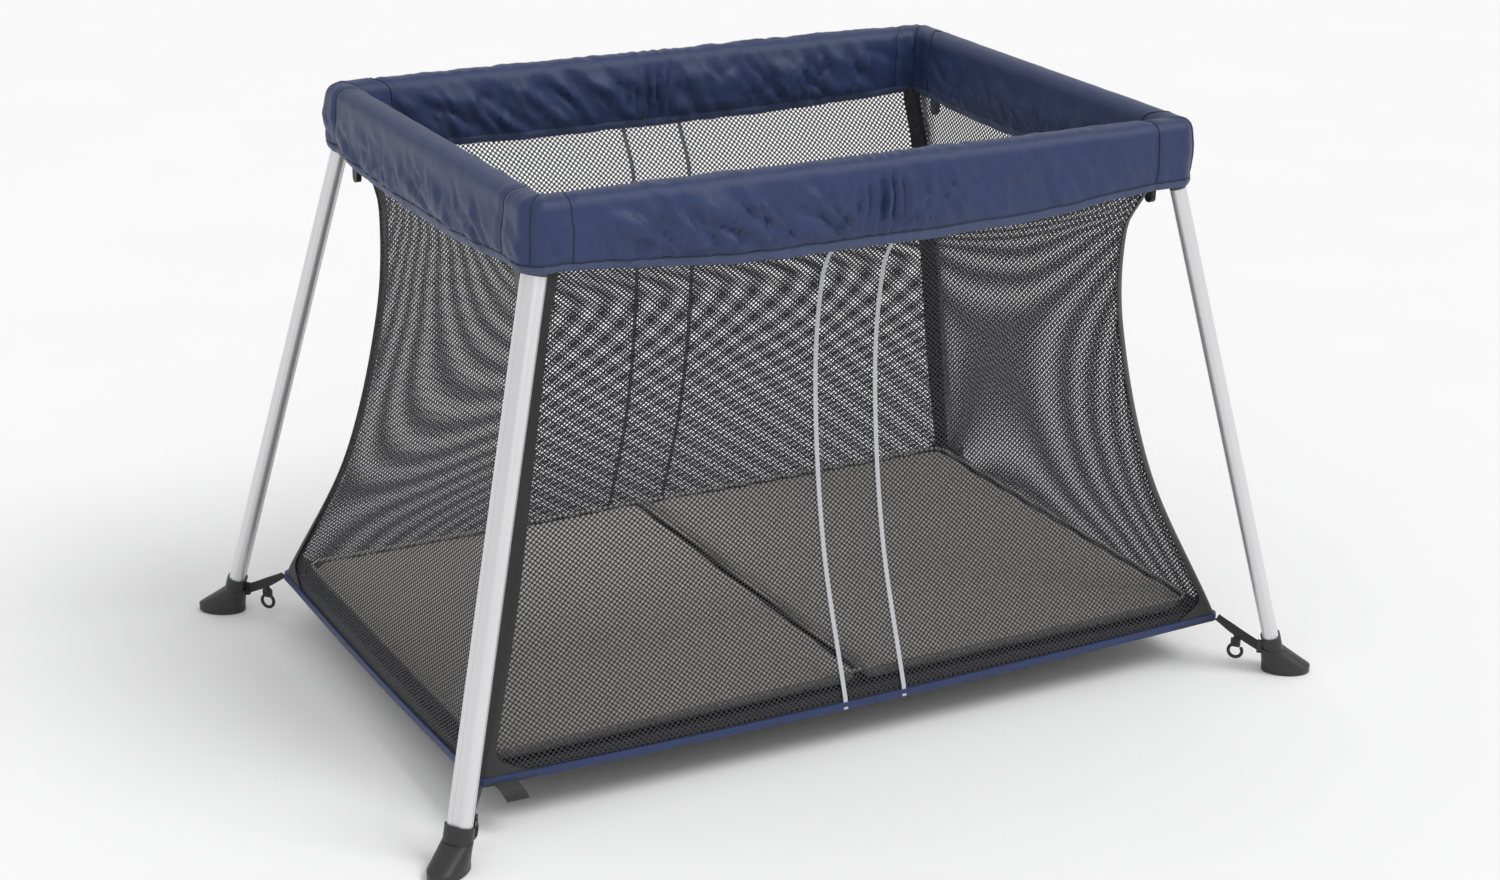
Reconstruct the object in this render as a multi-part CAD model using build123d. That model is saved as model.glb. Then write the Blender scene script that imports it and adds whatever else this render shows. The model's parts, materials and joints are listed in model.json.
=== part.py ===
from build123d import *
import os
from math import cos, radians, sin, sqrt, tan

# Travel play yard: a folding rail frame on four splayed legs, with a mesh tub hung inside.
# Millimetres. X runs along the long side, Y across, Z up. The origin is on the floor, at the centre.
# Everything is drawn for the corner at +X +Y and mirrored to the other three.

# ---- rail frame ------------------------------------------------------------------------------
rail_half_length = 382.0      # centre line of an end rail
rail_half_width = 267.0       # centre line of a side rail
rail_height = 629.0           # centre line of all rails
rail_diameter = 22.0
rail_wall = 1.2
fit_clearance = 0.15          # radial, a tube or plug in its socket
socket_wall = 3.0
corner_flat = 0.1             # half the flat left between the block's two rounded edges
corner_socket = 38.0          # socket length past the block
latch_socket_overlap = 4.0    # how far the end rail's socket is longer, to carry the latch
reach = 800.0                 # larger than the play yard, for cutting it in half
cutter_run = 1.0              # how far a bore or cutter runs past the face that it opens
weld = 1.0                    # how far joined shapes run into each other

# ---- legs ------------------------------------------------------------------------------------
leg_pivot_drop = 37.0         # below the rails' centre line, and so for the heights further down
leg_pivot_inset = 1.0         # pivot lies this far inside the side rail's centre line
leg_splay_x = 12.92           # degrees outward, along X
leg_splay_y = 8.31            # degrees outward, along Y
leg_width = 28.0              # wide face of the flat oval tube
leg_thickness = 18.0
leg_wall = 1.5
leg_groove_width = 9.0
leg_groove_depth = 0.5
seam_groove = 0.6
folded_droop = 5.0            # degrees below level when folded
knuckle_radius = 10.0
knuckle_width = 12.0
cheek_thickness = 4.0
cheek_root = 6.0              # how far each cheek runs up into the corner block
side_clearance = 0.4          # each side of a knuckle
neck_radius = 5.0
neck_start = 4.0              # along the leg from its pivot
pivot_pin_radius = 4.0
pin_clearance = 0.08          # radial, running fit
collar_start = 13.5           # along the leg from its pivot
tube_start = 16.0
plug_length = 38.0
stop_width = 6.5
stop_clearance = 0.4          # between the collar and the bracket's stop at rest

# ---- foot ------------------------------------------------------------------------------------
foot_length = 56.0
foot_width = 37.0
foot_heel = 19.5              # sole behind the point where the leg's axis meets the floor
sole_height = 9.0
shoulder_height = 29.0
collar_height = 44.0
collar_wall = 2.2
collar_root = 4.0             # how far the collar runs down into the boot
collar_step = 0.5             # the boot's shoulder outside the collar, at its sides
shoulder_proud = 3.0          # the boot's shoulder outside the collar, at heel and toe
sole_round = 2.0
pocket_height = 14.0          # the tube's end, above the floor

# ---- strap and hook at each foot -------------------------------------------------------------
strap_width = 11.0
strap_thickness = 1.6
strap_anchor = 23.0           # inside the point where the leg's axis meets the floor
strap_anchor_height = 29.0
strap_lug = (11.0, 5.0, 15.0) # length, width and height of the foot's lug round the strap
strap_sewn = 3.0              # how much of the lug reaches back over the strap's end
strap_gap = 6.0               # clear of the tub's corner
strap_rise = 2.0              # strap's centre above the tub's bottom edge
hook_place_along = 0.40       # share of the strap's run, clear of the side wall as the leg folds
hook_radius = 8.0
hook_wire = 2.0
hook_drop = 6.2
hook_arm = 2.2
hook_step = 0.8               # how much thicker the frame is than the ring's wire
hook_bar_radius = 1.8
hook_bar_length = 11.0
hook_eye_width = 5.5
hook_eye_wall = 1.3
hook_eye_clearance = 0.25
hook_gap = 62.0               # degrees of the open mouth

# ---- centre hinges ---------------------------------------------------------------------------
hinge_rise = 15.0             # above the rails' centre line
hinge_radius = 7.0
hinge_pin_radius = 3.0
hinge_knuckle = 9.0           # width of the middle knuckle
hinge_lug = 4.5               # width of each outer lug
block_end = 62.0
block_bore_start = 27.0
block_gap = 0.25              # half the gap between the two stop faces
block_round = 6.0
web_start = 2.0               # from the hinge line to each knuckle's web
nose_height = 18.0            # height of the stop faces
knuckle_web = 13.0

# ---- release buttons -------------------------------------------------------------------------
button_x = 15.0
button_radius = 6.0
button_flange = 7.0
button_flange_height = 6.5
button_lip = 3.0
button_proud = 8.0
button_travel = 4.0
button_clearance = 0.2
button_round = 1.5
spring_wire = 0.8
spring_turns = 4.0
spring_closed = 4.0           # the spring's height with the button pushed home
spring_inset = 2.0            # from the flange's rim in to the wire's centre
spring_play = 0.2             # above and below the spring

# ---- leg latches -----------------------------------------------------------------------------
latch_offset = 42.0           # from the side rail's centre line, along the end rail
latch_drop = 27.0             # below the rails' centre line
latch_width = 9.0
latch_boss = 6.0
latch_pin_radius = 2.0
latch_tab_drop = 53.0         # from the pin down to the tab's tip
latch_tab_width = 13.0
latch_tab_thickness = 6.0
latch_tab_flat = 0.5          # half the flat left at the tab's tip
latch_arm = 26.0
latch_arm_drop = 1.0          # from the pin's centre down to the arm's top
latch_arm_round = 1.5
latch_cheek = 3.5

# ---- rail cover ------------------------------------------------------------------------------
cover_clearance = 1.5         # outside the rails' sockets
cover_cloth = 2.5
cover_hinge_gap = 0.5         # above the centre hinges
cover_drop = 52.0             # from the rails' centre line down to the hem
cover_round = 10.0
cover_corner = 20.0
cover_inner_corner = 2.0
cover_tub_gap = 1.0
cover_split = 0.5             # half the gap at the centre

# ---- tub and mattress ------------------------------------------------------------------------
tub_tuck = 8.0                # how far the tub runs up inside the cover
tub_bottom = 54.0
tub_cloth = 2.5
neck_in = (109.0, 20.0, 43.0)         # below the rails, then inside their end and side centre lines
waist_in = (229.0, 9.0, 53.0)
knee_in = (166.0, 56.0, 58.5)         # above the tub's bottom, then inside its bottom corner
base_in = (52.79, 53.97)              # its bottom corner, inside where the leg's axis meets the floor
tub_split = 1.0
panel_gap = 0.4
mattress_inset = 20.0
mattress_thickness = 24.0
mattress_corner = 18.0

# ---- screws ----------------------------------------------------------------------------------
screw_radius = 1.6
screw_head_radius = 3.2
screw_head = 1.6
screw_length = 7.0
screw_proud = 0.2             # the head above the socket
block_screw_inset = 12.0      # from a hinge block's open end

# ---- derived places --------------------------------------------------------------------------
rail_radius = rail_diameter / 2
socket_radius = rail_radius + socket_wall
corner_block = 2 * socket_radius
corner_round = socket_radius - corner_flat
leg_pivot_height = rail_height - leg_pivot_drop
latch_height = rail_height - latch_drop
latch_tab_end = latch_height - latch_tab_drop
hinge_height = rail_height + hinge_rise
cover_half = socket_radius + cover_clearance + cover_cloth
cover_top = hinge_height + hinge_radius + cover_hinge_gap + cover_cloth
cover_hem = rail_height - cover_drop
tub_top = cover_hem + tub_tuck
pivot = Vector(rail_half_length, rail_half_width - leg_pivot_inset, leg_pivot_height)
slope_x = tan(radians(leg_splay_x))
slope_y = tan(radians(leg_splay_y))
leg_axis = Vector(slope_x, slope_y, -1).normalized()
outward = Vector(slope_x, slope_y, 0).normalized()
across = Vector(-outward.Y, outward.X, 0)
fold_direction = Vector(-cos(radians(folded_droop)), 0, -sin(radians(folded_droop)))
fold_axis = leg_axis.cross(fold_direction).normalized()
leg_fold_angle = leg_axis.get_angle(fold_direction)
fork = Plane(origin=pivot, x_dir=-fold_direction, z_dir=-fold_axis)
floor_point = pivot + leg_axis * (leg_pivot_height / -leg_axis.Z)
leg_length = (leg_pivot_height - pocket_height) / -leg_axis.Z
block_bottom = rail_height - corner_block / 2
spring_length = spring_closed + button_travel
tub_base = (tub_bottom, floor_point.X - base_in[0], floor_point.Y - base_in[1])
tub_knee = (tub_bottom + knee_in[0], tub_base[1] - knee_in[1], tub_base[2] - knee_in[2])
tub_waist = (rail_height - waist_in[0], rail_half_length - waist_in[1], rail_half_width - waist_in[2])
tub_neck = (rail_height - neck_in[0], rail_half_length - neck_in[1], rail_half_width - neck_in[2])
tub_inner_x = rail_half_length - cover_half - cover_tub_gap
tub_inner_y = rail_half_width - cover_half - cover_tub_gap


def across_leg(distance):
    """A drawing plane square to the leg, at a distance down it from the pivot."""
    return Plane(origin=pivot + leg_axis * distance, x_dir=across, z_dir=leg_axis)


def tube_along(axis, start, length, outer, inner=0.0):
    """A round bar or tube from start, along X, Y or Z."""
    plane = Plane(origin=start, z_dir=axis)
    profile = Circle(outer) - Circle(inner) if inner else Circle(outer)
    return extrude(plane * profile, length)


def box_between(low, high):
    """A box from its lowest to its highest corner."""
    size = [h - l for l, h in zip(low, high)]
    centre = [(h + l) / 2 for l, h in zip(low, high)]
    return Pos(*centre) * Box(*size)


def flat_oval(width, thickness):
    """The leg's section: a slot with its long axis on the plane's X."""
    return SlotOverall(width, thickness)


# ---- rails -----------------------------------------------------------------------------------
def end_rail():
    half = rail_half_width - corner_block / 2
    start = (rail_half_length, -half, rail_height)
    return tube_along((0, 1, 0), start, 2 * half, rail_radius, rail_radius - rail_wall)


def side_rail():
    start = (block_bore_start, rail_half_width, rail_height)
    length = rail_half_length - corner_block / 2 - block_bore_start
    return tube_along((1, 0, 0), start, length, rail_radius, rail_radius - rail_wall)


# ---- corner bracket --------------------------------------------------------------------------
def corner_bracket():
    corner = Pos(rail_half_length, rail_half_width, rail_height)
    body = corner * Box(corner_block, corner_block, corner_block)
    upright_edges = body.edges().filter_by(Axis.Z)
    outer_edge = upright_edges.sort_by(lambda edge: edge.center().X + edge.center().Y)[-1]
    body = fillet(outer_edge, corner_round)
    end_socket = corner_socket + latch_socket_overlap
    inner_face = corner_block / 2
    side_start = (rail_half_length - inner_face, rail_half_width, rail_height)
    end_start = (rail_half_length, rail_half_width - inner_face, rail_height)
    body += tube_along((-1, 0, 0), side_start, corner_socket, socket_radius)
    body += tube_along((0, -1, 0), end_start, end_socket, socket_radius)
    body += leg_fork() + latch_lug()
    bore = rail_radius + fit_clearance
    body -= tube_along((-1, 0, 0), side_start, corner_socket + cutter_run, bore)
    body -= tube_along((0, -1, 0), end_start, end_socket + cutter_run, bore)
    return body


def leg_fork():
    """Two cheeks under the corner block. Their lower outer corner stops the leg's collar."""
    inside = knuckle_width / 2 + side_clearance
    rise = rail_height - leg_pivot_height - socket_radius + cheek_root
    outline = Circle(knuckle_radius) + Pos(0, rise / 2) * Rectangle(2 * knuckle_radius, rise)
    stop_reach = collar_start - stop_clearance
    lean = 90 - leg_fold_angle
    outline += Rot(0, 0, -lean) * Pos(stop_width / 2, -stop_reach / 2) * Rectangle(stop_width, stop_reach)
    outline -= Circle(pivot_pin_radius + pin_clearance)
    cheek = extrude(outline, cheek_thickness)
    return fork.location * (Pos(0, 0, inside) * cheek + Pos(0, 0, -inside - cheek_thickness) * cheek)


def latch_lug():
    """Two cheeks under the end socket that carry the leg latch."""
    y = rail_half_width - latch_offset
    half = latch_width / 2 + side_clearance
    top = rail_height - rail_radius - weld
    cheek = box_between((half, y - latch_boss, latch_height), (half + latch_cheek, y + latch_boss, top))
    cheek += tube_along((1, 0, 0), (half, y, latch_height), latch_cheek, latch_boss)
    bore_start = (half - cutter_run, y, latch_height)
    bore = latch_pin_radius + pin_clearance
    cheek -= tube_along((1, 0, 0), bore_start, latch_cheek + 2 * cutter_run, bore)
    return Pos(rail_half_length, 0, 0) * (cheek + mirror(cheek, about=Plane.YZ))


def leg_latch():
    """The release lever: a tab to squeeze, a boss on its pin and a catch arm towards the leg."""
    x = rail_half_length
    y = rail_half_width - latch_offset
    boss = tube_along((1, 0, 0), (x - latch_width / 2, y, latch_height), latch_width, latch_boss)
    tab = box_between(
        (x - latch_tab_thickness / 2, y - latch_tab_width / 2, latch_tab_end),
        (x + latch_tab_thickness / 2, y + latch_tab_width / 2, latch_height - latch_boss / 2),
    )
    tab = fillet(tab.edges().filter_by(Axis.X).sort_by(Axis.Z)[:2], latch_tab_width / 2 - latch_tab_flat)
    arm = box_between(
        (x - latch_width / 2, y, latch_height - latch_boss),
        (x + latch_width / 2, y + latch_arm, latch_height - latch_arm_drop),
    )
    arm = fillet(arm.edges().filter_by(Axis.X).sort_by(Axis.Y)[-2:], latch_arm_round)
    bore_start = (x - latch_width, y, latch_height)
    bore = tube_along((1, 0, 0), bore_start, 2 * latch_width, latch_pin_radius + pin_clearance)
    return boss + tab + arm - bore


# ---- legs ------------------------------------------------------------------------------------
def leg_head():
    """The moulded plug: a knuckle on the pivot pin and a neck that fills the tube's top."""
    knuckle = Pos(0, 0, -knuckle_width / 2) * extrude(Circle(knuckle_radius), knuckle_width)
    bore = Pos(0, 0, -knuckle_width) * extrude(Circle(pivot_pin_radius + pin_clearance), 2 * knuckle_width)
    neck = extrude(across_leg(neck_start) * Circle(neck_radius), tube_start - neck_start)
    collar_section = flat_oval(leg_width, leg_thickness)
    collar = extrude(across_leg(collar_start) * collar_section, tube_start - collar_start)
    inner = 2 * (leg_wall + fit_clearance)
    plug_section = flat_oval(leg_width - inner, leg_thickness - inner - 2 * leg_groove_depth)
    plug = extrude(across_leg(tube_start) * plug_section, plug_length)
    return fork.location * knuckle + neck + collar + plug - fork.location * bore


def leg_tube():
    """Flat oval tube with a shallow channel down its outer face and a fine line down each narrow side."""
    length = leg_length - tube_start
    section = flat_oval(leg_width, leg_thickness)
    section -= flat_oval(leg_width - 2 * leg_wall, leg_thickness - 2 * leg_wall - 2 * leg_groove_depth)
    channel = Rectangle(leg_groove_width, 2 * leg_groove_depth)
    section -= Pos(0, leg_thickness / 2) * channel
    section -= Pos(0, -leg_thickness / 2) * channel
    seam = Rectangle(2 * seam_groove, seam_groove)
    section -= Pos(leg_width / 2, 0) * seam
    section -= Pos(-leg_width / 2, 0) * seam
    return extrude(across_leg(tube_start) * section, length)


def foot():
    """Boat-shaped boot with a collar round the tube."""
    toe = foot_length / 2 - foot_heel
    centre = floor_point + outward * toe
    sole_plane = Plane(origin=centre, x_dir=outward, z_dir=(0, 0, 1))
    sole = extrude(sole_plane * Ellipse(foot_length / 2, foot_width / 2), sole_height)
    sole = fillet(sole.edges().group_by(Axis.Z)[0], sole_round)
    at_shoulder = pivot + leg_axis * ((leg_pivot_height - shoulder_height) / -leg_axis.Z)
    collar_size = (leg_width + 2 * collar_wall, leg_thickness + 2 * collar_wall)
    lower = sole_plane.offset(sole_height) * Ellipse(foot_length / 2, foot_width / 2)
    shoulder = Ellipse(collar_size[1] / 2 + shoulder_proud, collar_size[0] / 2 + collar_step)
    upper = Plane(origin=at_shoulder, x_dir=outward, z_dir=(0, 0, 1)) * shoulder
    body = sole + loft([lower, upper])
    low = (leg_pivot_height - shoulder_height + collar_root) / -leg_axis.Z
    high = (leg_pivot_height - collar_height) / -leg_axis.Z
    body += extrude(across_leg(high) * flat_oval(*collar_size), low - high)
    pocket = flat_oval(leg_width + 2 * fit_clearance, leg_thickness + 2 * fit_clearance)
    body += foot_lug()
    body -= extrude(across_leg(high - cutter_run) * pocket, leg_length - high + cutter_run)
    return body - strap_band(fit_clearance)


def strap_ends():
    """Where the strap ends in the foot's lug, and where it stops by the tub's corner."""
    heel = floor_point - outward * strap_anchor + Vector(0, 0, strap_anchor_height)
    tub_corner = Vector(tub_base[1], tub_base[2], tub_base[0] + strap_rise)
    flat = Vector(heel.X - tub_corner.X, heel.Y - tub_corner.Y, 0)
    return heel, tub_corner + flat.normalized() * strap_gap


def strap_band(extra=0.0):
    heel, tub_end = strap_ends()
    run = heel - tub_end
    side = run.cross(Vector(0, 0, 1)).normalized()
    section = Plane(origin=tub_end, x_dir=side, z_dir=run)
    band = Rectangle(strap_thickness + 2 * extra, strap_width + 2 * extra)
    return extrude(section * band, run.length + extra)


def foot_lug():
    """The block on the foot's heel that the strap's end is sewn into."""
    heel, tub_end = strap_ends()
    flat = Vector(heel.X - tub_end.X, heel.Y - tub_end.Y, 0).normalized()
    place = Plane(origin=heel, x_dir=flat, z_dir=(0, 0, 1))
    return place.location * (Pos(strap_lug[0] / 2 - strap_sewn, 0, 0) * Box(*strap_lug))


def hook_place():
    """A frame on the hook's bar, X along the strap, Y up."""
    heel, tub_end = strap_ends()
    run = heel - tub_end
    flat = Vector(run.X, run.Y, 0)
    slope = -run.Z / flat.length
    eye = hook_bar_radius + hook_eye_clearance + hook_eye_wall
    under_strap = strap_width / 2 * sqrt(1 + slope ** 2) + slope * hook_bar_length / 2
    middle = tub_end + run * hook_place_along - Vector(0, 0, under_strap + eye)
    direction = flat.normalized()
    return Plane(origin=middle, x_dir=direction, z_dir=direction.cross(Vector(0, 0, 1)))


def foot_strap():
    """Webbing from the foot towards the tub's corner, with a small loop sewn under it for the hook."""
    place = hook_place()
    inner = hook_bar_radius + hook_eye_clearance
    outer = inner + hook_eye_wall
    loop_face = Plane(origin=place.origin - place.x_dir * (hook_eye_width / 2), z_dir=place.x_dir)
    tail_face = Plane(origin=place.origin, x_dir=place.x_dir, z_dir=(0, 0, 1))
    loop = extrude(loop_face * Circle(outer), hook_eye_width)
    tail = extrude(tail_face * Rectangle(hook_eye_width, strap_thickness), outer + strap_width / 2)
    hole = extrude(loop_face * Circle(inner), hook_eye_width)
    return strap_band() + loop + tail - hole


def hook():
    """C-shaped plastic hook that hangs from the loop by its bar."""
    place = hook_place()
    bar_plane = Plane(origin=(-hook_bar_length / 2, 0, 0), z_dir=(1, 0, 0))
    bar = extrude(bar_plane * Circle(hook_bar_radius), hook_bar_length)
    depth = 2 * hook_wire + hook_step
    arm = Pos(0, -hook_drop / 2, 0) * Box(hook_arm, hook_drop + weld, depth)
    side = (hook_bar_length - hook_arm) / 2
    bridge = Pos(0, -hook_drop, 0) * Box(hook_bar_length, depth, depth)
    path = CenterArc((0, -hook_drop - hook_radius), hook_radius, 90, 360 - hook_gap)
    ring = sweep(Plane(origin=path @ 0, x_dir=(0, 0, 1), z_dir=path % 0) * Circle(hook_wire), path)
    tip = Pos(path @ 1) * Sphere(hook_wire)
    frame = bar + Pos(side, 0, 0) * arm + Pos(-side, 0, 0) * arm + bridge
    return place.location * (frame + ring + tip)


# ---- centre hinge ----------------------------------------------------------------------------
def hinge_block():
    """The part both blocks share: a socket for the side rail and a nose that meets the other block."""
    y = rail_half_width
    half = corner_block / 2
    top = rail_height + socket_radius
    body = box_between((knuckle_web, y - half, block_bottom), (block_bore_start + weld, y + half, top))
    body = fillet(body.edges().filter_by(Axis.X).sort_by(Axis.Z)[-2:], block_round)
    bore_start = (block_bore_start, y, rail_height)
    nose_top = block_bottom + nose_height
    body += tube_along((1, 0, 0), bore_start, block_end - block_bore_start, socket_radius)
    body += box_between((block_gap, y - half, block_bottom), (knuckle_web, y + half, nose_top))
    return body - tube_along((1, 0, 0), bore_start, block_end, rail_radius + fit_clearance)


def hinge_lug_at(y_low, width, bore):
    """One knuckle on the hinge line and its web to the block."""
    lug = tube_along((0, 1, 0), (0, y_low, hinge_height), width, hinge_radius)
    low = block_bottom + nose_height - weld
    high = rail_height + socket_radius
    lug += box_between((web_start, y_low, low), (knuckle_web + weld, y_low + width, high))
    return lug - tube_along((0, 1, 0), (0, y_low - cutter_run, hinge_height), width + 2 * cutter_run, bore)


def middle_block():
    """Carries the middle knuckle, which turns on the pin."""
    bore = hinge_pin_radius + pin_clearance
    return hinge_block() + hinge_lug_at(rail_half_width - hinge_knuckle / 2, hinge_knuckle, bore)


def forked_block():
    """Carries the two outer lugs and the release button's pocket."""
    bore = hinge_pin_radius + pin_clearance
    offset = hinge_knuckle / 2 + side_clearance
    body = hinge_block()
    body += hinge_lug_at(rail_half_width + offset, hinge_lug, bore)
    body += hinge_lug_at(rail_half_width - offset - hinge_lug, hinge_lug, bore)
    shaft = (button_x, rail_half_width, block_bottom - cutter_run)
    pocket = (button_x, rail_half_width, block_bottom + button_lip)
    depth = button_flange_height + button_clearance + spring_length
    body -= tube_along((0, 0, 1), shaft, button_lip + 2 * cutter_run, button_radius + button_clearance)
    return body - tube_along((0, 0, 1), pocket, depth, button_flange + button_clearance)


def hinge_pin():
    length = hinge_knuckle + 2 * (hinge_lug + side_clearance)
    return tube_along((0, 1, 0), (0, rail_half_width - length / 2, hinge_height), length, hinge_pin_radius)


def release_button():
    y = rail_half_width
    seat = block_bottom + button_lip + button_clearance
    low = block_bottom - button_proud
    stem = tube_along((0, 0, 1), (button_x, y, low), seat - low, button_radius)
    stem = fillet(stem.edges().group_by(Axis.Z)[0], button_round)
    return stem + tube_along((0, 0, 1), (button_x, y, seat), button_flange_height, button_flange)


def release_spring():
    flange_top = block_bottom + button_lip + button_clearance + button_flange_height
    seat = flange_top + (spring_wire + spring_play) / 2
    height = spring_length - spring_wire - 2 * spring_play
    radius = button_flange - spring_inset
    path = Pos(button_x, rail_half_width, seat) * Helix(height / spring_turns, height, radius)
    return sweep(Plane(origin=path @ 0, z_dir=path % 0) * Circle(spring_wire / 2), path)


# ---- pins and screws -------------------------------------------------------------------------
def leg_pin():
    length = knuckle_width + 2 * (side_clearance + cheek_thickness)
    return fork.location * (Pos(0, 0, -length / 2) * extrude(Circle(pivot_pin_radius), length))


def latch_pin():
    length = latch_width + 2 * (side_clearance + latch_cheek)
    start = (rail_half_length - length / 2, rail_half_width - latch_offset, latch_height)
    return tube_along((1, 0, 0), start, length, latch_pin_radius)


def rail_screws():
    """Screws that hold each rail in its sockets, driven down through the tops."""
    top = rail_height + socket_radius
    inset = corner_block / 2 + corner_socket / 2
    spots = [
        (rail_half_length - inset, rail_half_width),
        (rail_half_length, rail_half_width - inset),
        (block_end - block_screw_inset, rail_half_width),
    ]
    return [screw_at(x, y, top) for x, y in spots]


def screw_at(x, y, top):
    shank = tube_along((0, 0, -1), (x, y, top), screw_length, screw_radius)
    return shank + tube_along((0, 0, -1), (x, y, top + screw_proud), screw_head, screw_head_radius)


# ---- soft goods ------------------------------------------------------------------------------
def rail_cover():
    """Cloth channel over the rails of one half, open below for the legs."""
    def ring(grow, low, high, edge):
        outer_size = (2 * (rail_half_length + grow), 2 * (rail_half_width + grow))
        outer = RectangleRounded(*outer_size, cover_corner - edge)
        inner_size = (2 * (rail_half_length - grow), 2 * (rail_half_width - grow))
        inner = RectangleRounded(*inner_size, cover_inner_corner + edge)
        solid = extrude(Pos(0, 0, low) * (outer - inner), high - low)
        return fillet(solid.edges().group_by(Axis.Z)[-1], cover_round - edge)

    outside = ring(cover_half, cover_hem, cover_top, 0)
    inside = ring(cover_half - cover_cloth, cover_hem - cutter_run, cover_top - cover_cloth, cover_cloth)
    half = box_between((cover_split, -reach, 0), (reach, reach, reach))
    return (outside - inside) & half


def tub_profile(column, inset, top_half):
    """The region inside one pair of walls: column 1 gives half lengths, 2 half widths."""
    rows = [tub_base, tub_knee, tub_waist, tub_neck]
    wall = [(row[column] - inset, row[0]) for row in rows] + [(top_half - inset, tub_top)]
    side = Spline(*wall)
    other = mirror(side, about=Plane.YZ)
    base = Line(side @ 0, other @ 0)
    lid = Line(side @ 1, other @ 1)
    return make_face([side, lid, other, base])


def envelope_x(inset):
    face = Plane.XZ * tub_profile(1, inset, tub_inner_x)
    return extrude(face, reach, both=True)


def envelope_y(inset):
    face = Plane.YZ * tub_profile(2, inset, tub_inner_y)
    return extrude(face, reach, both=True)


def mesh_end():
    right = box_between((tub_split, -reach, 0), (reach, reach, reach))
    return (envelope_x(0) - envelope_x(tub_cloth)) & envelope_y(0) & right


def mesh_side():
    quarter = box_between((tub_split, tub_split, 0), (reach, reach, reach))
    return (envelope_y(0) - envelope_y(tub_cloth)) & envelope_x(tub_cloth + panel_gap) & quarter


def floor_panel():
    room = envelope_x(tub_cloth + panel_gap) & envelope_y(tub_cloth + panel_gap)
    return room & box_between((tub_split, -reach, tub_bottom), (reach, reach, tub_bottom + tub_cloth))


def mattress():
    low = tub_bottom + tub_cloth + panel_gap
    pad = box_between(
        (tub_split, -(tub_base[2] - mattress_inset), low),
        (tub_base[1] - mattress_inset, tub_base[2] - mattress_inset, low + mattress_thickness),
    )
    return fillet(pad.edges().filter_by(Axis.Z).sort_by(Axis.X)[-2:], mattress_corner)


# ---- placing and export ----------------------------------------------------------------------
def to_corner(part, left, front):
    """Move a part drawn at +X +Y to one of the four corners."""
    if left and front:
        return Rot(0, 0, 180) * part
    if left:
        return mirror(part, about=Plane.YZ)
    if front:
        return mirror(part, about=Plane.XZ)
    return part


def make_nodes():
    """Every node of the play yard by name."""
    bracket_solid, screws = corner_bracket(), rail_screws()
    blocks = {"left": forked_block(), "right": middle_block()}
    blocks = {side: block - screws[2] for side, block in blocks.items()}
    tube = side_rail() - screws[0] - screws[2]
    bracket_solid = bracket_solid - screws[0] - screws[1]
    end_tube = end_rail() - screws[1] - mirror(screws[1], about=Plane.XZ)
    head, latch, boot = leg_head(), leg_latch(), foot()
    leg = leg_tube()
    strap, hook_solid = foot_strap(), hook()
    side_wall = mesh_side()

    nodes = {}
    for side in ("left", "right"):
        left = side == "left"
        nodes[f"end_rail_{side}"] = to_corner(end_tube, left, False)
        nodes[f"rail_cover_{side}"] = to_corner(rail_cover(), left, False)
        nodes[f"mesh_end_{side}"] = to_corner(mesh_end(), left, False)
        nodes[f"floor_panel_{side}"] = to_corner(floor_panel(), left, False)
        nodes[f"mattress_{side}"] = to_corner(mattress(), left, False)
        pins = [leg_pin(), latch_pin()]
        nodes[f"pivot_pins_{side}"] = Compound(
            children=[to_corner(pin, left, front) for pin in pins for front in (False, True)])
        nodes[f"rail_screws_{side}"] = Compound(
            children=[to_corner(screw, left, front) for screw in screws for front in (False, True)])
        for end in ("front", "rear"):
            front = end == "front"
            corner = {
                "side_rail": tube,
                "corner_bracket": bracket_solid,
                "hinge_block": blocks[side],
                "mesh_side": side_wall,
                "leg_latch": latch,
                "leg_head": head,
                "leg_tube": leg,
                "foot": boot,
                "foot_strap": strap,
                "hook": hook_solid,
            }
            for name, solid in corner.items():
                nodes[f"{name}_{end}_{side}"] = to_corner(solid, left, front)
    centre_pins = [to_corner(hinge_pin(), False, front) for front in (False, True)]
    nodes["hinge_pins"] = Compound(children=centre_pins)
    for end in ("front", "rear"):
        nodes[f"release_button_{end}"] = to_corner(release_button(), True, end == "front")
        nodes[f"release_spring_{end}"] = to_corner(release_spring(), True, end == "front")
    return nodes


os.makedirs("parts", exist_ok=True)
for name, node in make_nodes().items():
    export_step(node, f"parts/{name}.step")
print("leg folds", round(leg_fold_angle, 3), "degrees about", fold_axis, "through", pivot)
print("hook bar at", hook_place().origin, "along", hook_place().x_dir)
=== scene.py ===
import json
import math
import bpy
from mathutils import Matrix, Vector, noise


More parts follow.
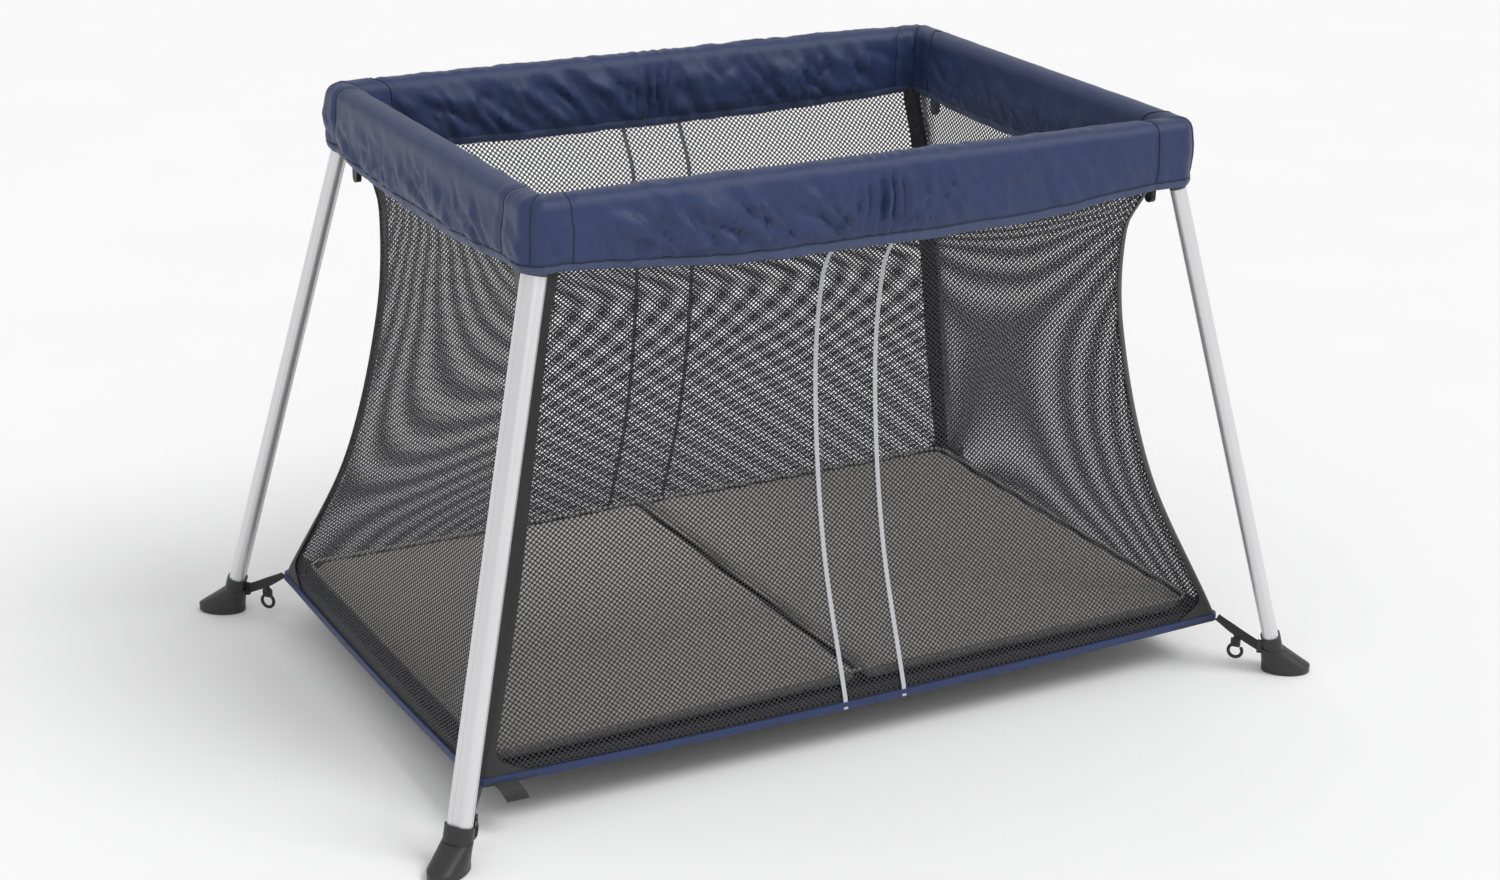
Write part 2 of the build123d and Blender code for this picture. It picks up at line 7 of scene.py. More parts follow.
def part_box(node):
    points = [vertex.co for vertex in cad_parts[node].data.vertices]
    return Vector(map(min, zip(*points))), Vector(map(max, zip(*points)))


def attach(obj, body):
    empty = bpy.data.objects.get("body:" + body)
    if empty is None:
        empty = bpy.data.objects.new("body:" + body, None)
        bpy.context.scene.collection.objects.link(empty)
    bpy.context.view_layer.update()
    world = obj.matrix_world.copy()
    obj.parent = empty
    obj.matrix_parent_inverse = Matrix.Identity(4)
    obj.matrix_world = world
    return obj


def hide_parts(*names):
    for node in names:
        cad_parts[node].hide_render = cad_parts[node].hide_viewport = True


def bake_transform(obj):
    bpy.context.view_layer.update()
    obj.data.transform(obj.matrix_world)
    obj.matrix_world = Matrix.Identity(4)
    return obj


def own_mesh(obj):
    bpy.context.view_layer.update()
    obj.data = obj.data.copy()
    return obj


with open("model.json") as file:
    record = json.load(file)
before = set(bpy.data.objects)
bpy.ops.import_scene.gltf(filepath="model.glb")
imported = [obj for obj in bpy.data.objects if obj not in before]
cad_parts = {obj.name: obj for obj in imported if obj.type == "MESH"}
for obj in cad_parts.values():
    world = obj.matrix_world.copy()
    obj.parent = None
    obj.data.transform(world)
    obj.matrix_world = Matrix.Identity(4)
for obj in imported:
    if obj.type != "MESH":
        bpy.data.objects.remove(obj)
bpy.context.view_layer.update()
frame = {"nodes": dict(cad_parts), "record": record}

print("frame loaded:", len(frame["nodes"]), "nodes")

# Travel play yard. Metres, X along the long side, Y to the rear, Z up, floor at zero.
sides = ("left", "right")
corners = [(end, side) for end in ("front", "rear") for side in sides]


def signs(end, side):
    return (-1 if side == "left" else 1), (-1 if end == "front" else 1)


def smooth(value, low, high):
    share = min(max((value - low) / (high - low), 0.0), 1.0)
    return share * share * (3 - 2 * share)


def mix(a, b, share):
    return a + (b - a) * share


# camera, lights and floor
studio = {
    "cameraPlace": (-1.398, -2.558, 1.342),
    "lookDirection": (0.450, 0.8216, -0.350),
    "roll": 0.96,                 # degrees
    "lens": 64.57,
    "worldStrength": 0.66,
    "sunStrength": 1.35,
    "sunAngle": 28,               # degrees, the softness of its shadows
    "sunAim": (-0.50, 0.55, -1.0),
    "fillWatts": 14.0,
}


def setCamera():
    camera = bpy.data.objects.new("camera", bpy.data.cameras.new("camera"))
    bpy.context.scene.collection.objects.link(camera)
    look = Vector(studio["lookDirection"]).normalized()
    roll = Matrix.Rotation(math.radians(studio["roll"]), 3, "Z").to_quaternion()
    aim = look.to_track_quat("-Z", "Y") @ roll
    camera.matrix_world = Matrix.LocRotScale(Vector(studio["cameraPlace"]), aim, None)
    camera.data.lens = studio["lens"]
    camera.data.clip_end = 50
    bpy.context.scene.camera = camera


def areaLight(name, place, size, watts):
    data = bpy.data.lights.new(name, "AREA")
    data.shape = "SQUARE"
    data.size = size
    data.energy = watts
    lamp = bpy.data.objects.new(name, data)
    bpy.context.scene.collection.objects.link(lamp)
    aim = Vector((0, 0, 0.3)) - Vector(place)
    lamp.matrix_world = Matrix.LocRotScale(Vector(place), aim.to_track_quat("-Z", "Y"), None)


def sunLight():
    data = bpy.data.lights.new("keyLight", "SUN")
    data.energy = studio["sunStrength"]
    data.angle = math.radians(studio["sunAngle"])
    lamp = bpy.data.objects.new("keyLight", data)
    bpy.context.scene.collection.objects.link(lamp)
    lamp.matrix_world = Vector(studio["sunAim"]).to_track_quat("-Z", "Y").to_matrix().to_4x4()


setCamera()
sunLight()
areaLight("fillLight", (-2.6, -3.0, 2.4), 2.0, studio["fillWatts"])
world = bpy.data.worlds.new("studio")
world.use_nodes = True
world.node_tree.nodes["Background"].inputs["Color"].default_value = (1, 1, 1, 1)
world.node_tree.nodes["Background"].inputs["Strength"].default_value = studio["worldStrength"]
bpy.context.scene.world = world
bpy.context.scene.view_settings.view_transform = "Standard"
bpy.context.scene.cycles.transparent_max_bounces = 48
print("camera and lights set")


# materials: a Value is one number or vector inside a finish, so sums on it add Math nodes
class Value:
    def __init__(self, finish, socket):
        self.finish = finish
        self.socket = socket

    def sum(self, operation, first, second=0.0, third=0.0):
        settings = {"operation": operation}
        return self.finish.node("ShaderNodeMath", settings, {0: first, 1: second, 2: third})

    def __add__(self, other):
        return self.sum("ADD", self, other)

    def __radd__(self, other):
        return self.sum("ADD", other, self)

    def __sub__(self, other):
        return self.sum("SUBTRACT", self, other)

    def __rsub__(self, other):
        return self.sum("SUBTRACT", other, self)

    def __mul__(self, other):
        return self.sum("MULTIPLY", self, other)

    def __rmul__(self, other):
        return self.sum("MULTIPLY", other, self)

    def __truediv__(self, other):
        return self.sum("DIVIDE", self, other)

    def wave(self):
        return self.sum("SINE", self)

    def fraction(self):
        return self.sum("FRACT", self)

    def size(self):
        return self.sum("ABSOLUTE", self)

    def least(self, other):
        return self.sum("MINIMUM", self, other)

    def clamped(self):
        return self.sum("MINIMUM", self.sum("MAXIMUM", self, 0.0), 1.0)


class Finish:
    def __init__(self, name, **fixed):
        self.material = bpy.data.materials.new(name)
        self.material.use_nodes = True
        self.tree = self.material.node_tree
        self.shader = self.tree.nodes["Principled BSDF"]
        for socket, value in fixed.items():
            self.shader.inputs[socket.replace("_", " ")].default_value = value

    def node(self, kind, settings=None, inputs=None, output=0):
        made = self.tree.nodes.new(kind)
        for key, value in (settings or {}).items():
            setattr(made, key, value)
        for key, value in (inputs or {}).items():
            if isinstance(value, Value):
                self.tree.links.new(value.socket, made.inputs[key])
            else:
                made.inputs[key].default_value = value
        return Value(self, made.outputs[output])

    def into(self, socket, value):
        self.tree.links.new(value.socket, self.shader.inputs[socket])

    def place(self, kind="Object"):
        return self.node("ShaderNodeTexCoord", output=kind)

    def part(self, vector, axis):
        return self.node("ShaderNodeSeparateXYZ", inputs={0: vector}, output=axis)

    def speckle(self, where, scale, detail=2.0, roughness=0.5, stretch=(1, 1, 1)):
        where = self.node("ShaderNodeMapping", inputs={"Vector": where, "Scale": stretch})
        values = {"Vector": where, "Scale": scale, "Detail": detail, "Roughness": roughness}
        return self.node("ShaderNodeTexNoise", inputs=values)

    def blendColour(self, share, first, second):
        return self.node("ShaderNodeMix", {"data_type": "RGBA"}, {0: share, 6: first, 7: second}, output=2)

    def bump(self, height, strength, distance):
        values = {"Height": height, "Strength": strength, "Distance": distance}
        self.into("Normal", self.node("ShaderNodeBump", inputs=values))


fullTurn = 2 * math.pi


def wovenCloth(name, dark, light, thread, bumpDepth, **fixed):
    # plain weave on the cloth's own UV map, which is in metres
    finish = Finish(name, **fixed)
    uv = finish.place("UV")
    across = (finish.part(uv, 0) * (fullTurn / thread)).wave()
    along = (finish.part(uv, 1) * (fullTurn / thread)).wave()
    weave = across * along
    cloud = finish.speckle(finish.place(), 14.0, 4.0, 0.6)
    grain = finish.speckle(finish.place(), 900.0, 1.0)
    finish.into("Base Color", finish.blendColour(((cloud * 0.8 + grain * 0.5) - 0.15).clamped(), dark, light))
    finish.into("Roughness", cloud * 0.12 + (fixed.get("Roughness", 0.5) - 0.06))
    finish.bump(weave * 0.35 + grain * 0.65, 0.35, bumpDepth)
    return finish


mesh = {
    "pitchAlong": 0.0064,     # between holes in one row
    "pitchUp": 0.0056,        # between rows that line up
    "holeWidth": 0.0036,
    "holeHeight": 0.0031,
    "bandHeight": 0.016,      # doubled cloth above the bottom binding
}


def knittedMesh():
    # staggered oval holes on the wall's UV map, which is in metres
    finish = Finish("knittedMesh", Roughness=0.62, Sheen_Weight=0.25, Sheen_Roughness=0.4)
    uv = finish.place("UV")
    along, up = finish.part(uv, 0), finish.part(uv, 1)
    fields = []
    for shift in (0.0, 0.5):
        wide = 2 * mesh["pitchAlong"] / mesh["holeWidth"]
        x = ((along / mesh["pitchAlong"] + shift).fraction() - 0.5) * wide
        z = ((up / mesh["pitchUp"] + shift).fraction() - 0.5) * (2 * mesh["pitchUp"] / mesh["holeHeight"])
        fields.append(x * x + z * z)
    hole = fields[0].least(fields[1])
    band = ((mesh["bandHeight"] - up) * 400.0).clamped()
    solid = ((hole - 0.86 + band * 0.62) * 3.5).clamped()
    yarn = finish.speckle(uv, 1500.0, 2.0)
    finish.into("Alpha", solid)
    finish.into("Base Color", finish.blendColour(yarn, (0.006, 0.006, 0.009, 1), (0.022, 0.022, 0.030, 1)))
    finish.bump(yarn * 0.4 + solid * 0.6, 0.5, 0.0004)
    return finish


def mouldedPlastic(name, dark, light, roughness, scale=1400.0):
    finish = Finish(name, IOR=1.48)
    where = finish.place()
    grain = finish.speckle(where, scale, 2.0)
    cloud = finish.speckle(where, 40.0, 3.0)
    finish.into("Base Color", finish.blendColour(cloud, dark, light))
    finish.into("Roughness", cloud * 0.14 + grain * 0.08 + (roughness - 0.11))
    finish.bump(grain, 0.25, 0.0002)
    return finish


def brushedMetal(name, colour, roughness, stretch, metallic=1.0):
    # fine drawn lines along the tube
    finish = Finish(name, Metallic=metallic)
    where = finish.place()
    lines = finish.speckle(where, 1100.0, 3.0, 0.6, stretch)
    cloud = finish.speckle(where, 9.0, 3.0)
    paler = tuple(min(c * 1.06, 1.0) for c in colour[:3]) + (1,)
    finish.into("Base Color", finish.blendColour(cloud, colour, paler))
    finish.into("Roughness", lines * 0.10 + cloud * 0.08 + (roughness - 0.09))
    finish.bump(lines, 0.12, 0.0001)
    return finish


finishes = {
    "navy_cloth": wovenCloth(
        "navyPolyester", (0.018, 0.031, 0.092, 1), (0.028, 0.047, 0.130, 1), 0.0006, 0.00025,
        Roughness=0.40, Sheen_Weight=0.03, Sheen_Roughness=0.35, Specular_IOR_Level=0.35,
    ),
    "navy_binding": wovenCloth(
        "navyBinding", (0.030, 0.046, 0.112, 1), (0.042, 0.062, 0.145, 1), 0.0010, 0.0004,
        Roughness=0.50, Sheen_Weight=0.06,
    ),
    "navy_seam": wovenCloth(
        "navySeam", (0.006, 0.010, 0.028, 1), (0.010, 0.015, 0.040, 1), 0.0010, 0.0003,
        Roughness=0.55,
    ),
    "mesh_cloth": knittedMesh(),
    "mattress_cloth": wovenCloth(
        "paleMattressCloth", (0.54, 0.53, 0.48, 1), (0.66, 0.64, 0.59, 1), 0.0009, 0.0004,
        Roughness=0.85, Sheen_Weight=0.15, Sheen_Roughness=0.5,
    ),
    "floor_cloth": wovenCloth(
        "darkFloorCloth", (0.012, 0.013, 0.018, 1), (0.025, 0.026, 0.034, 1), 0.0008, 0.0003,
        Roughness=0.75, Sheen_Weight=0.1,
    ),
    "black_webbing": wovenCloth(
        "blackWebbing", (0.006, 0.006, 0.007, 1), (0.020, 0.020, 0.022, 1), 0.0012, 0.0005,
        Roughness=0.6, Sheen_Weight=0.2,
    ),
    "grey_tape": wovenCloth(
        "paleGreyTape", (0.42, 0.43, 0.46, 1), (0.55, 0.56, 0.60, 1), 0.0008, 0.0003,
        Roughness=0.7, Sheen_Weight=0.1,
    ),
    "black_plastic": mouldedPlastic("blackPlastic", (0.010, 0.010, 0.011, 1), (0.020, 0.020, 0.021, 1), 0.34),
    "foot_plastic": mouldedPlastic(
        "darkGreyPlastic", (0.020, 0.020, 0.022, 1), (0.032, 0.032, 0.034, 1), 0.40,
    ),
    "frame_plastic": mouldedPlastic("greyFramePlastic", (0.07, 0.07, 0.075, 1), (0.10, 0.10, 0.105, 1), 0.5),
    "aluminium_rail": brushedMetal("drawnAluminium", (0.74, 0.75, 0.76, 1), 0.38, (0.02, 1, 1)),
    "anodised_leg": brushedMetal("satinAnodised", (0.73, 0.73, 0.74, 1), 0.42, (1, 1, 0.03), 0.75),
    "steel": brushedMetal("zincPlated", (0.60, 0.60, 0.62, 1), 0.35, (1, 1, 1)),
}


def dress(piece, slotName):
    piece.data.materials.clear()
    piece.data.materials.append(finishes[slotName].material)


def dressFrame():
    slots = {row["node"]: row["material_slot"] for row in frame["record"]["subparts"]}
    for node, piece in frame["nodes"].items():
        dress(piece, slots[node])


dressFrame()
print("finishes made:", len(finishes))


# cloth: a grid of squares is added, and each of its points put in place by its own share across and along
def clothGrid(name, columns, rows, place, flatPlace):
    bpy.ops.object.select_all(action="DESELECT")
    bpy.ops.mesh.primitive_grid_add(x_subdivisions=columns, y_subdivisions=rows, size=2)
    piece = bpy.context.object
    piece.name = name
    piece.data.name = name
    shares = [((v.co.x + 1) / 2, (v.co.y + 1) / 2) for v in piece.data.vertices]
    for vertex, (u, v) in zip(piece.data.vertices, shares):
        vertex.co = place(u, v)
    layer = piece.data.uv_layers.active.data
    for loop in piece.data.loops:
        layer[loop.index].uv = flatPlace(*shares[loop.vertex_index])
    return piece


def activate(piece):
    bpy.ops.object.select_all(action="DESELECT")
    piece.select_set(True)
    bpy.context.view_layer.objects.active = piece


def weld(piece, gap=0.00005):
    activate(piece)
    bpy.ops.object.mode_set(mode="EDIT")
    bpy.ops.mesh.select_all(action="SELECT")
    bpy.ops.mesh.remove_doubles(threshold=gap)
    bpy.ops.object.mode_set(mode="OBJECT")


def modify(piece, kind, **settings):
    activate(piece)
    modifier = piece.modifiers.new(kind.lower(), kind)
    for key, value in settings.items():
        setattr(modifier, key, value)
    bpy.ops.object.modifier_apply(modifier=modifier.name)


def thicken(piece, thickness, offset=-1.0):
    modify(piece, "SOLIDIFY", thickness=thickness, offset=offset, use_quality_normals=True)
    activate(piece)
    bpy.ops.object.shade_smooth_by_angle(angle=math.radians(50))


def creases(along, up, width, length, slant, seed):
    # soft folds that run at a slant: rounded between sharp valleys, from 0 to about 1
    a = (along * math.cos(slant) + up * math.sin(slant)) / width
    b = (up * math.cos(slant) - along * math.sin(slant)) / length
    value = noise.noise(Vector((a, b, seed))) + 0.45 * noise.noise(Vector((a * 2.1, b * 1.7, seed + 9)))
    return min(abs(value) * 2.0, 1.0)


# rail cover: one padded cloth channel round the whole rim
cover = {
    "halfLength": 0.400,       # outside, at the ends
    "halfWidth": 0.285,        # outside, at the sides
    "width": 0.036,            # across the channel
    "top": 0.654,
    "round": 0.017,            # of the top edges
    "cornerRound": 0.024,      # outside, seen from above
    "innerRound": 0.004,
    "cornerHem": 0.581,        # height of the hem at the corners, sides and ends
    "sideHem": 0.5635,
    "endHem": 0.571,
    "innerHem": 0.573,
    "rearHem": 0.570,
    "thickness": 0.0012,
    "columnLength": 0.0040,
    "cornerColumns": 12,
    "outerRows": 18,
    "topRows": 12,
    "innerRows": 17,
    "foldDepth": 0.0150,
    "binding": 0.009,
    "bindingThickness": 0.0012,
    "bindingTape": 0.0016,     # thickness of the folded tape
    "bindingRows": 2.4,
    "stitchRow": 2.75,         # just above the binding
    "stitchRadius": 0.0007,
    "seamRadius": 0.0008,
    "seamBefore": 0.034,       # before a corner's arc
    "seamAfter": 0.024,        # past the end of its arc
    "seamArc": 0.018,
    "gatherWidth": 0.035,      # gathers at the centre of each side
    "pleatSpacing": 0.014,
    "blendHalf": 0.04,         # this far each side of the centre hinges
    "hingeHeight": 0.644,
}


def rimStations():
    # every column of the rim's cloth: which side or corner it is on, and its share along it
    length = 2 * cover["halfLength"] - 2 * cover["cornerRound"]
    width = 2 * cover["halfWidth"] - 2 * cover["cornerRound"]
    stations = []
    for side, run in enumerate((width, length, width, length)):
        count = round(run / cover["columnLength"])
        stations += [("side", side, step / count) for step in range(count)]
        turns = cover["cornerColumns"]
        stations += [("corner", side, step / turns) for step in range(turns)]
    return stations + [("side", 0, 0.0)]


stations = rimStations()


def rimRadius(inset):
    return max(cover["cornerRound"] - inset, cover["innerRound"])


def cornerCentre(corner, inset):
    signX, signY = ((1, 1), (-1, 1), (-1, -1), (1, -1))[corner % 4]
    radius = rimRadius(inset)
    x = cover["halfLength"] - inset - radius
    y = cover["halfWidth"] - inset - radius
    return Vector((signX * x, signY * y, 0))


def rimPoint(station, inset):
    # a point on the rim, inset from the cover's outside, and the way outwards there
    kind, index, share = station
    radius = rimRadius(inset)
    angle = math.radians(90 * index) + (math.radians(90 * share) if kind == "corner" else 0)
    outwards = Vector((math.cos(angle), math.sin(angle), 0))
    if kind == "corner":
        return cornerCentre(index, inset) + outwards * radius, outwards
    start = cornerCentre(index - 1, inset) + outwards * radius
    end = cornerCentre(index, inset) + outwards * radius
    return start.lerp(end, share), outwards


def stationLengths():
    # distance along the outside of the rim to each station
    points = [rimPoint(station, 0.006)[0] for station in stations]
    total, lengths = 0.0, [0.0]
    for a, b in zip(points, points[1:]):
        total += (b - a).length
        lengths.append(total)
    return lengths


rimLengths = stationLengths()


def sideShare(point):
    # 0 at a corner, 1 half way along a side or an end
    alongSide = 1 - min(abs(point.x) / (cover["halfLength"] - 0.03), 1.0)
    alongEnd = 1 - min(abs(point.y) / (cover["halfWidth"] - 0.03), 1.0)
    onSide = abs(point.y) > cover["halfWidth"] - cover["width"] - 0.01
    return (alongSide if onSide else alongEnd), onSide


def hemHeight(point, inner=False):
    share, onSide = sideShare(point)
    dip = math.sin(0.5 * math.pi * smooth(share, 0.0, 0.85))
    ripple = 0.0012 * noise.noise(Vector((point.x * 24, point.y * 24, 3.7)))
    if inner:
        return mix(cover["innerHem"] + 0.002, cover["innerHem"] - 0.004, dip) + ripple
    low = (cover["sideHem"] if point.y < 0 else cover["rearHem"]) if onSide else cover["endHem"]
    return mix(cover["cornerHem"], low, dip) + ripple


rowCount = cover["outerRows"] + cover["topRows"] + cover["innerRows"]


def coverSection(row, point):
    # inset from the outside and height of one row, with the way out of the cloth as (outwards, up)
    low, innerLow = hemHeight(point), hemHeight(point, True)
    shoulder = cover["top"] - cover["round"]
    half = cover["width"] / 2
    if row <= cover["outerRows"]:
        share = row / cover["outerRows"]
        belly = 0.0012 * math.sin(math.pi * share) - 0.0016 * (1 - share) ** 4
        return -belly, mix(low, shoulder, share), (1.0, 0.0)
    row -= cover["outerRows"]
    if row <= cover["topRows"]:
        angle = math.pi * row / cover["topRows"]
        # a flattened arch over the tube
        across = math.copysign(abs(math.cos(angle)) ** 0.8, math.cos(angle))
        height = shoulder + cover["round"] * math.sin(angle) ** 0.8
        return half - half * across, height, (math.cos(angle), math.sin(angle))
    share = (row - cover["topRows"]) / cover["innerRows"]
    belly = 0.0012 * math.sin(math.pi * share) - 0.0016 * share ** 4
    return cover["width"] + belly, mix(shoulder, innerLow, share), (-1.0, 0.0)


def foldHeight(distance, row, point, height):
    # how far the cloth stands proud: slanted folds, deepest half way down and near the centre gathers
    share, onSide = sideShare(point)
    onTop = smooth(height, cover["top"] - 0.034, cover["top"] - 0.006)
    atHem = 1 - smooth(height, cover["sideHem"] + 0.010, cover["sideHem"] + 0.028)
    inner = row > cover["outerRows"] + cover["topRows"] / 2
    up = height if not inner else height + 0.3
    slant = math.radians(48 if point.x < 0.05 else 38)
    if not onSide:
        slant = math.radians(62)
    if inner:
        slant = -slant
    wide = creases(distance, up, 0.030, 0.085, slant, 1.3 + inner)
    fine = creases(distance, up, 0.012, 0.050, slant * 0.7, 5.1 + inner)
    gather = math.exp(-(point.x / cover["gatherWidth"]) ** 2) if onSide else 0.0
    wander = 2 * noise.noise(Vector((distance * 30, height * 40, 0)))
    pleat = 0.5 + 0.5 * math.sin(distance * fullTurn / cover["pleatSpacing"] + wander)
    calm = 0.35 + 0.65 * smooth(share, 0.06, 0.30)
    if onSide and not inner and point.y < 0:
        calm *= mix(1.0, 0.40, smooth(point.x, 0.04, 0.12))
    if not onSide:
        calm *= mix(0.75, 0.20, smooth(height, 0.590, 0.635))
    value = (0.62 * wide + 0.30 * fine) * calm * (1 - 0.75 * gather) + 0.55 * pleat * gather
    value *= (1 - 0.80 * onTop) * (1 - 0.72 * atHem)
    return cover["foldDepth"] * value + seamPucker(distance, point, height)


def seamPucker(distance, point, height):
    # panels are joined by upright seams beside each corner, which pull the padding in
    depth = 0.0
    for seam in seamDistances:
        gap = distance - seam - 0.004 * noise.noise(Vector((height * 30, seam, 0)))
        if abs(gap) < 0.02:
            depth -= 0.0011 * math.exp(-(gap / 0.0030) ** 2)
            depth += 0.0006 * math.exp(-((abs(gap) - 0.009) / 0.004) ** 2)
    return depth


def seamPlaces():
    # one seam before every corner's arc, one half way round it and one past its end
    places = []
    for (kind, index, share), distance in zip(stations, rimLengths):
        if kind == "corner" and share == 0.0:
            arc = 0.5 * math.pi * cover["seamArc"]
            places += [distance - cover["seamBefore"], distance + arc + cover["seamAfter"]]
            places.append(distance + arc / 2)
    return places


seamDistances = seamPlaces()


def coverPoint(column, row, proud=0.0):
    station = stations[column]
    base, outwards = rimPoint(station, 0.0)
    inset, height, (out, up) = coverSection(row, base)
    point, outwards = rimPoint(station, inset)
    lift = foldHeight(rimLengths[column % (len(stations) - 1)], row, point, height) + proud
    return Vector((point.x + outwards.x * out * lift, point.y + outwards.y * out * lift, height + up * lift))


def rowLength(row):
    outer = cover["outerRows"] * 0.0040
    top = cover["topRows"] * 0.0042
    if row <= cover["outerRows"]:
        return row * 0.0040
    if row <= cover["outerRows"] + cover["topRows"]:
        return outer + (row - cover["outerRows"]) * 0.0042
    return outer + top + (row - cover["outerRows"] - cover["topRows"]) * 0.0040


def makeRailCover():
    columns = len(stations) - 1

    def place(u, v):
        return coverPoint(round(u * columns), v * rowCount)

    def flatPlace(u, v):
        return rimLengths[round(u * columns)], rowLength(v * rowCount)

    piece = clothGrid("railCover", columns, rowCount, place, flatPlace)
    weld(piece)
    thicken(piece, cover["thickness"])
    dress(piece, "navy_cloth")
    return piece


def makeBinding(name, lowRow, rows, inner):
    # folded tape over the raw edge of the cover, standing proud of it and wrapped under it
    columns = len(stations) - 1
    steps = 6

    def place(u, v):
        column = round(u * columns)
        step = round(v * steps)
        row = lowRow + rows * min(step, steps - 1) / (steps - 1) if not inner else lowRow - rows * (1 - v)
        swell = math.sin(math.pi * min(v * 1.0 + 0.12, 1.0))
        return coverPoint(column, row, cover["bindingThickness"] * swell + 0.0002)

    def flatPlace(u, v):
        return rimLengths[round(u * columns)], v * cover["binding"]

    piece = clothGrid(name, columns, steps, place, flatPlace)
    weld(piece)
    thicken(piece, cover["bindingTape"])
    dress(piece, "navy_binding")
    return piece


def cordAlong(name, points, radius, closed=False):
    # a thin round cord through a line of points
    line = bpy.data.curves.new(name, "CURVE")
    line.dimensions = "3D"
    line.bevel_depth = radius
    line.bevel_resolution = 2
    line.use_fill_caps = not closed
    spline = line.splines.new("POLY")
    spline.points.add(len(points) - 1)
    for spot, point in zip(spline.points, points):
        spot.co = (point[0], point[1], point[2], 1)
    spline.use_cyclic_u = closed
    piece = bpy.data.objects.new(name, line)
    bpy.context.scene.collection.objects.link(piece)
    activate(piece)
    bpy.ops.object.convert(target="MESH")
    piece = bpy.context.object
    piece.data.name = name
    activate(piece)
    bpy.ops.object.mode_set(mode="EDIT")
    bpy.ops.mesh.select_all(action="SELECT")
    bpy.ops.uv.cube_project(cube_size=1.0)
    bpy.ops.object.mode_set(mode="OBJECT")
    bpy.ops.object.shade_smooth()
    return piece


def makeSeams():
    # a welt stands in the valley of each upright seam, from the outer hem over the top to the inner one
    for number, seam in enumerate(seamDistances):
        column = min(range(len(stations) - 1), key=lambda i: abs(rimLengths[i] - seam % rimLengths[-1]))
        rows = [0.5 + step * (rowCount - 1.0) / 60 for step in range(61)]
        points = [coverPoint(column, row, 0.0001) for row in rows]
        piece = cordAlong("coverSeam_" + str(number), points, cover["seamRadius"])
        dress(piece, "navy_seam")
        side = "left" if rimPoint(stations[column], 0)[0].x < 0 else "right"
        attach(piece, side + "_frame")


def makeTopstitch():
    # sewn line just above the binding, all round
    points = [coverPoint(column, cover["stitchRow"], 0.0001) for column in range(len(stations) - 1)]
    piece = cordAlong("coverTopstitch", points, cover["stitchRadius"], True)
    dress(piece, "navy_seam")
    return piece


railCover = makeRailCover()
makeSeams()
bindings = [
    makeBinding("coverBindingOuter", 0.0, cover["bindingRows"], False),
    makeBinding("coverBindingInner", float(rowCount), cover["bindingRows"], True),
    makeTopstitch(),
]
for piece in [railCover] + bindings:
    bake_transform(piece)
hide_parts("rail_cover_left", "rail_cover_right")
print("rail cover made")


# tub: a flared wall of mesh in each half, with tapes at its corners and a binding round its bottom
tub = {
    "heights": (0.054, 0.220, 0.400, 0.520, 0.568, 0.585),
    "halfLengths": (0.465, 0.409, 0.373, 0.362, 0.3658, 0.3663),
    "halfWidths": (0.2985, 0.240, 0.214, 0.224, 0.2508, 0.2514),
    "cornerRound": 0.020,
    "bottomRound": 0.006,
    "rows": 46,
    "cornerColumns": 6,
    "columnLength": 0.012,
    "thickness": 0.0007,
    "split": 0.0002,
    "hemSag": 0.006,
}


def naturalSpline(knots, values):
    # smooth curve through the profile's points, as a clamped table of slopes
    slopes = []
    for i in range(len(knots)):
        a, b = max(i - 1, 0), min(i + 1, len(knots) - 1)
        slopes.append((values[b] - values[a]) / (knots[b] - knots[a]))

    def at(height):
        height = min(max(height, knots[0]), knots[-1])
        i = max(k for k in range(len(knots) - 1) if knots[k] <= height)
        span = knots[i + 1] - knots[i]
        t = (height - knots[i]) / span
        h00, h10 = 2 * t ** 3 - 3 * t ** 2 + 1, t ** 3 - 2 * t ** 2 + t
        h01, h11 = 3 * t ** 2 - 2 * t ** 3, t ** 3 - t ** 2
        return h00 * values[i] + h10 * span * slopes[i] + h01 * values[i + 1] + h11 * span * slopes[i + 1]

    return at


tubLength = naturalSpline(tub["heights"], tub["halfLengths"])
tubWidth = naturalSpline(tub["heights"], tub["halfWidths"])


def tubStations():
    # columns of one half's wall, from the centre of the front round the end to the centre of the rear
    side = round(tub["halfLengths"][0] / tub["columnLength"])
    end = round(2 * tub["halfWidths"][0] / tub["columnLength"])
    rows = [("front", step / side) for step in range(side)]
    rows += [("frontCorner", step / tub["cornerColumns"]) for step in range(tub["cornerColumns"])]
    rows += [("end", step / end) for step in range(end)]
    rows += [("rearCorner", step / tub["cornerColumns"]) for step in range(tub["cornerColumns"])]
    return rows + [("rear", step / side) for step in range(side + 1)]


tubColumns = tubStations()


def wallPoint(station, height, proud=0.0):
    # drawn for the right half: a point on the wall
    kind, share = station
    x, y = tubLength(height) + proud, tubWidth(height) + proud
    radius = mix(tub["bottomRound"], tub["cornerRound"], smooth(height, 0.06, 0.25)) + proud
    split = tub["split"]
    if kind == "front":
        return Vector((mix(split, x - radius, share), -y, height))
    if kind == "rear":
        return Vector((mix(x - radius, split, share), y, height))
    if kind == "end":
        return Vector((x, mix(-y + radius, y - radius, share), height))
    start = -90 if kind == "frontCorner" else 0
    centre = Vector((x - radius, (y - radius) * (-1 if kind == "frontCorner" else 1), height))
    angle = math.radians(start + 90 * share)
    return centre + Vector((math.cos(angle), math.sin(angle), 0)) * radius


